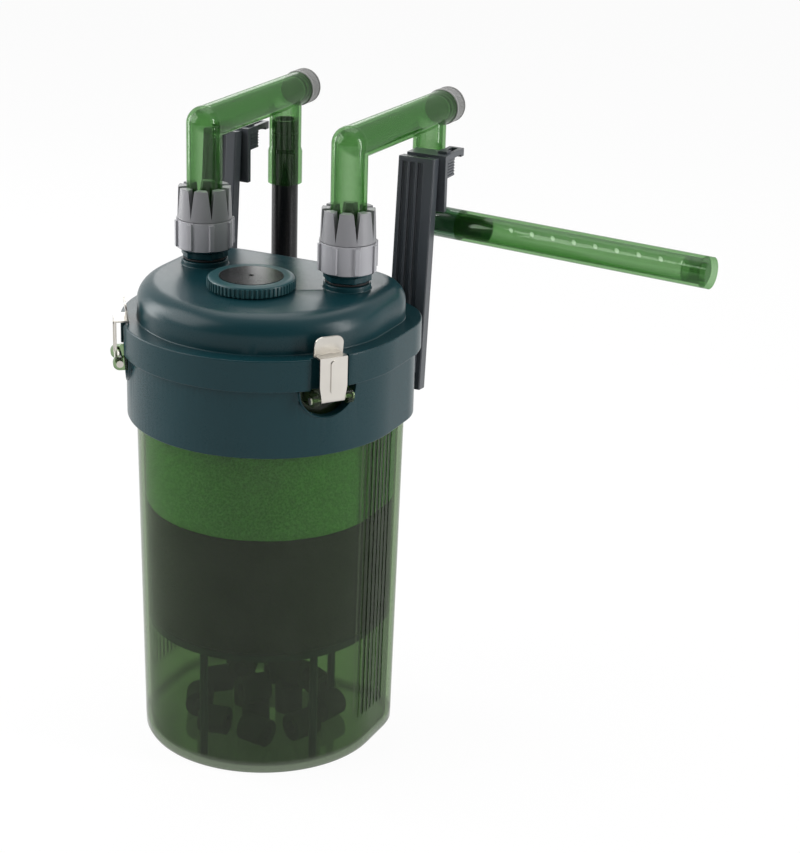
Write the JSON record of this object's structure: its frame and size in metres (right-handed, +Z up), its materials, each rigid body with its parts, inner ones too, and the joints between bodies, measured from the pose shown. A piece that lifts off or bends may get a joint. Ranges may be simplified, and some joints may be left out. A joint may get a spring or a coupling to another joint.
{
  "type": "canister filter",
  "caption": "Hang-on aquarium canister filter with latched head, filler cap, two swivelling pipes, intake strainer, spray bar and rim hooks.",
  "frame": {"origin": "centre of the canister's round front, on the flat underside that it stands on", "axes": "+Z up, +Y towards the flat back that faces the tank, +X towards the outlet and its spray bar"},
  "size_m": [0.2703, 0.1823, 0.3145],
  "materials": {
    "teal_plastic": "satin",
    "clear_green": "translucent gloss",
    "dark_green": "translucent gloss",
    "mid_grey": "satin",
    "light_grey": "satin",
    "slate_plastic": "satin",
    "smoke_plastic": "gloss",
    "black_plastic": "matte",
    "black_rubber": "matte",
    "stainless": "brushed",
    "coarse_sponge": "open-cell foam",
    "fine_floss": "fibrous",
    "ceramic_media": "porous",
    "ferrite": "satin",
    "white_ceramic": "gloss"
  },
  "bodies": {
    "vessel": {"canister": "clear_green", "collar": "teal_plastic", "latch_pins": "stainless", "main_seal": "black_rubber", "media_tray": "teal_plastic", "tray_legs": "teal_plastic", "media_chunks": "ceramic_media", "coarse_foam": "coarse_sponge", "floss_pad": "fine_floss", "standpipe": "clear_green"},
    "head": {"head_cover": "teal_plastic", "filler_neck": "teal_plastic", "head_plate": "black_plastic", "head_screws": "stainless", "pump_housing": "black_plastic", "volute_cover": "black_plastic", "impeller_shaft": "white_ceramic", "shaft_bushes": "black_rubber", "cord_gland": "black_rubber", "inlet_union": "teal_plastic", "outlet_union": "teal_plastic", "inlet_seal": "black_rubber", "outlet_seal": "black_rubber", "bracket_right": "slate_plastic", "bracket_left": "slate_plastic", "bracket_screws": "stainless"},
    "latch_right": {"clip_right": "stainless"},
    "latch_left": {"clip_left": "stainless"},
    "latch_rear": {"clip_rear": "stainless"},
    "rotor": {"rotor_magnet": "ferrite", "impeller": "white_ceramic"},
    "filler_ring": {"filler_seal": "black_rubber"},
    "filler_knob": {"filler_cap": "teal_plastic", "filler_disc": "smoke_plastic"},
    "intake": {"intake_tube": "smoke_plastic", "intake_seal": "black_rubber"},
    "strainer_body": {"strainer": "teal_plastic"},
    "elbow": {"outlet_elbow": "dark_green"},
    "spray_bar_body": {"spray_bar": "clear_green"},
    "spray_plug_body": {"spray_plug": "clear_green"},
    "inlet_collet_body": {"inlet_collet": "mid_grey"},
    "inlet_nut_body": {"inlet_nut": "mid_grey"},
    "inlet_pipe_body": {"inlet_pipe": "clear_green"},
    "inlet_cap_ring": {"inlet_cap_seal": "black_rubber"},
    "inlet_cap_body": {"inlet_end_cap": "light_grey"},
    "outlet_collet_body": {"outlet_collet": "mid_grey"},
    "outlet_nut_body": {"outlet_nut": "mid_grey"},
    "outlet_pipe_body": {"outlet_pipe": "clear_green"},
    "outlet_cap_ring": {"outlet_cap_seal": "black_rubber"},
    "outlet_cap_body": {"outlet_end_cap": "light_grey"},
    "rail_right_body": {"rail_right": "slate_plastic"},
    "hook_right_body": {"hook_right": "slate_plastic"},
    "jaw_right_body": {"jaw_right": "slate_plastic"},
    "rail_left_body": {"rail_left": "slate_plastic"},
    "hook_left_body": {"hook_left": "slate_plastic"},
    "jaw_left_body": {"jaw_left": "slate_plastic"}
  },
  "joints": [
    {"name": "head_lift", "type": "slide", "parent": "vessel", "child": "head", "axis": [0, 0, 1], "range_m": [0, 0.027]},
    {"name": "clip_right_swing", "type": "hinge", "parent": "vessel", "child": "latch_right", "pos_m": [0.05731, -0.04241, 0.199], "axis": [0.5948, 0.8039, 0], "range_deg": [0, 165]},
    {"name": "clip_left_swing", "type": "hinge", "parent": "vessel", "child": "latch_left", "pos_m": [-0.05731, -0.04241, 0.199], "axis": [0.5948, -0.8039, 0], "range_deg": [0, 165]},
    {"name": "clip_rear_swing", "type": "hinge", "parent": "vessel", "child": "latch_rear", "pos_m": [0, 0.0563, 0.199], "axis": [-1, 0, 0], "range_deg": [0, 165]},
    {"name": "rotor_spin", "type": "hinge", "parent": "head", "child": "rotor", "pos_m": [0, 0.025, 0.205], "axis": [0, 0, 1], "continuous": true},
    {"name": "filler_rise", "type": "slide", "parent": "head", "child": "filler_ring", "axis": [0, 0, 1], "range_m": [0, 0.008]},
    {"name": "filler_turn", "type": "hinge", "parent": "filler_ring", "child": "filler_knob", "pos_m": [0, -0.0152, 0.238], "axis": [0, 0, 1], "range_deg": [0, 720]},
    {"name": "inlet_collet_rise", "type": "slide", "parent": "head", "child": "inlet_collet_body", "axis": [0, 0, 1], "range_m": [0, 0.0045]},
    {"name": "inlet_nut_turn", "type": "hinge", "parent": "inlet_collet_body", "child": "inlet_nut_body", "pos_m": [-0.03895, 0.0081, 0.25], "axis": [0, 0, 1], "range_deg": [0, 720]},
    {"name": "inlet_pipe_swivel", "type": "hinge", "parent": "head", "child": "inlet_pipe_body", "pos_m": [-0.03895, 0.0081, 0.28], "axis": [0, 0, 1], "range_deg": [-15, 0]},
    {"name": "inlet_cap_draw", "type": "slide", "parent": "inlet_pipe_body", "child": "inlet_cap_ring", "axis": [0, 1, 0], "range_m": [0, 0.0045]},
    {"name": "inlet_cap_turn", "type": "hinge", "parent": "inlet_cap_ring", "child": "inlet_cap_body", "pos_m": [-0.03895, 0.1027, 0.305], "axis": [0, 1, 0], "range_deg": [0, 540]},
    {"name": "outlet_collet_rise", "type": "slide", "parent": "head", "child": "outlet_collet_body", "axis": [0, 0, 1], "range_m": [0, 0.0045]},
    {"name": "outlet_nut_turn", "type": "hinge", "parent": "outlet_collet_body", "child": "outlet_nut_body", "pos_m": [0.03895, 0.0081, 0.25], "axis": [0, 0, 1], "range_deg": [0, 720]},
    {"name": "outlet_pipe_swivel", "type": "hinge", "parent": "head", "child": "outlet_pipe_body", "pos_m": [0.03895, 0.0081, 0.28], "axis": [0, 0, 1], "range_deg": [0, 15]},
    {"name": "outlet_cap_draw", "type": "slide", "parent": "outlet_pipe_body", "child": "outlet_cap_ring", "axis": [0.0396, 0.9992, 0], "range_m": [0, 0.0045]},
    {"name": "outlet_cap_turn", "type": "hinge", "parent": "outlet_cap_ring", "child": "outlet_cap_body", "pos_m": [0.0427, 0.10263, 0.305], "axis": [0.0396, 0.9992, 0], "range_deg": [0, 540]},
    {"name": "intake_tube_slide", "type": "slide", "parent": "inlet_pipe_body", "child": "intake", "axis": [0, 0, -1], "range_m": [0, 0.02]},
    {"name": "strainer_pull", "type": "slide", "parent": "intake", "child": "strainer_body", "axis": [0, 0, -1], "range_m": [0, 0.01]},
    {"name": "outlet_elbow_swivel", "type": "hinge", "parent": "outlet_pipe_body", "child": "elbow", "pos_m": [0.0422, 0.09004, 0.2504], "axis": [0, 0, 1], "range_deg": [-10, 85]},
    {"name": "spray_bar_roll", "type": "hinge", "parent": "elbow", "child": "spray_bar_body", "pos_m": [0.10181, 0.08324, 0.2504], "axis": [0.9936, -0.1132, 0], "range_deg": [-90, 90]},
    {"name": "spray_plug_pull", "type": "slide", "parent": "spray_bar_body", "child": "spray_plug_body", "axis": [0.9936, -0.1132, 0], "range_m": [0, 0.009]},
    {"name": "rail_right_slide", "type": "slide", "parent": "head", "child": "rail_right_body", "axis": [0, 0.0732, 0.9973], "range_m": [-0.01, 0.006]},
    {"name": "hook_right_slide", "type": "slide", "parent": "rail_right_body", "child": "hook_right_body", "axis": [0, 0.0732, 0.9973], "range_m": [-0.008, 0]},
    {"name": "jaw_right_slide", "type": "slide", "parent": "hook_right_body", "child": "jaw_right_body", "axis": [0, 1, 0], "range_m": [0, 0.007]},
    {"name": "rail_left_slide", "type": "slide", "parent": "head", "child": "rail_left_body", "axis": [0, 0.0732, 0.9973], "range_m": [-0.01, 0.006]},
    {"name": "hook_left_slide", "type": "slide", "parent": "rail_left_body", "child": "hook_left_body", "axis": [0, 0.0732, 0.9973], "range_m": [-0.008, 0]},
    {"name": "jaw_left_slide", "type": "slide", "parent": "hook_left_body", "child": "jaw_left_body", "axis": [0, 1, 0], "range_m": [0, 0.007]}
  ],
  "couplings": [
    {"joint": "clip_right_swing", "follows": "head_lift", "rad_per_m": 106.6},
    {"joint": "clip_left_swing", "follows": "head_lift", "rad_per_m": 106.6},
    {"joint": "clip_rear_swing", "follows": "head_lift", "rad_per_m": 106.6},
    {"joint": "filler_rise", "follows": "filler_turn", "m_per_rad": 0.000636},
    {"joint": "inlet_collet_rise", "follows": "inlet_nut_turn", "m_per_rad": 0.000358},
    {"joint": "inlet_cap_draw", "follows": "inlet_cap_turn", "m_per_rad": 0.000477},
    {"joint": "outlet_collet_rise", "follows": "outlet_nut_turn", "m_per_rad": 0.000358},
    {"joint": "outlet_cap_draw", "follows": "outlet_cap_turn", "m_per_rad": 0.000477}
  ]
}
